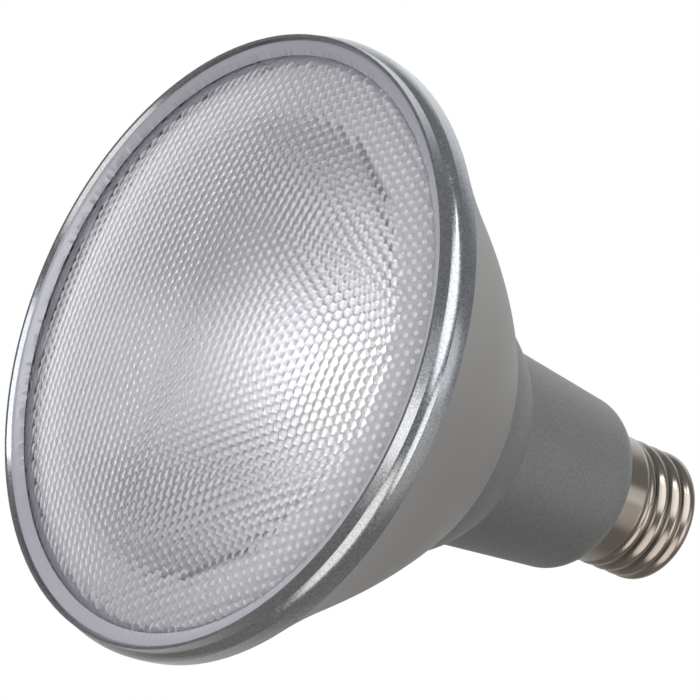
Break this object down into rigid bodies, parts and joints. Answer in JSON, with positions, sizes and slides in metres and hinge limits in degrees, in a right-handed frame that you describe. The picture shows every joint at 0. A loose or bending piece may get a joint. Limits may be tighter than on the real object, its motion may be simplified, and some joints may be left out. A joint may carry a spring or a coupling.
{
  "type": "par spotlight bulb",
  "caption": "LED reflector spotlight lamp with a beaded clear lens, silver rim, matte grey cone housing, long neck and medium screw base",
  "frame": {"origin": "crown of the domed lens, on which the lamp stands", "axes": "+Z along the lamp's axis from the lens towards the screw base; X and Y across it"},
  "size_m": [0.1206, 0.1206, 0.1268],
  "materials": {
    "silver_gloss": "gloss silver paint with fine flakes",
    "silver_matte": "matte warm grey silver paint",
    "silver_neck": "finely speckled matte grey",
    "clear_plastic": "clear, very slightly violet, moulded",
    "seal_rubber": "soft pale silicone",
    "mirror_metal": "vacuum metallised, bright",
    "bare_aluminium": "pressed, plain",
    "pad_rubber": "grey gap pad",
    "white_board": "aluminium core with white solder mask",
    "white_ceramic": "white ceramic substrate",
    "phosphor": "yellow phosphor in silicone",
    "screw_steel": "zinc plated",
    "white_plastic": "moulded, plain",
    "green_board": "glass fibre board, green mask",
    "ferrite": "sintered ferrite, matte",
    "tape_yellow": "winding under yellow tape",
    "capacitor_sleeve": "dark shrink sleeve",
    "film_red": "dipped, dark red",
    "black_plastic": "moulded epoxy",
    "varistor_blue": "dipped, blue",
    "resistor_green": "cement coat",
    "lead_red": "insulated wire",
    "lead_white": "insulated wire",
    "nickel": "bright nickel plate on rolled sheet",
    "black_insulator": "black moulded insulator",
    "contact_metal": "tinned contact plate"
  },
  "bodies": {
    "root": {"bezel_ring": "silver_gloss", "lens": "clear_plastic", "lens_gasket": "seal_rubber", "housing": "silver_matte", "driver_housing": "silver_neck", "reflector": "mirror_metal", "heat_spreader": "bare_aluminium", "thermal_pad": "pad_rubber", "led_board": "white_board", "led_base": "white_ceramic", "led_phosphor": "phosphor", "board_screws": "screw_steel", "driver_lid": "white_plastic", "driver_board": "green_board", "transformer_core": "ferrite", "transformer_winding": "tape_yellow", "bulk_capacitor": "capacitor_sleeve", "output_capacitor": "capacitor_sleeve", "film_capacitor": "film_red", "inductor": "ferrite", "bridge_rectifier": "black_plastic", "driver_chip": "black_plastic", "varistor": "varistor_blue", "fuse_resistor": "resistor_green", "led_leads": "lead_red", "live_lead": "lead_white", "neutral_lead": "lead_white", "screw_shell": "nickel", "base_insulator": "black_insulator", "centre_contact": "contact_metal"}
  },
  "joints": []
}
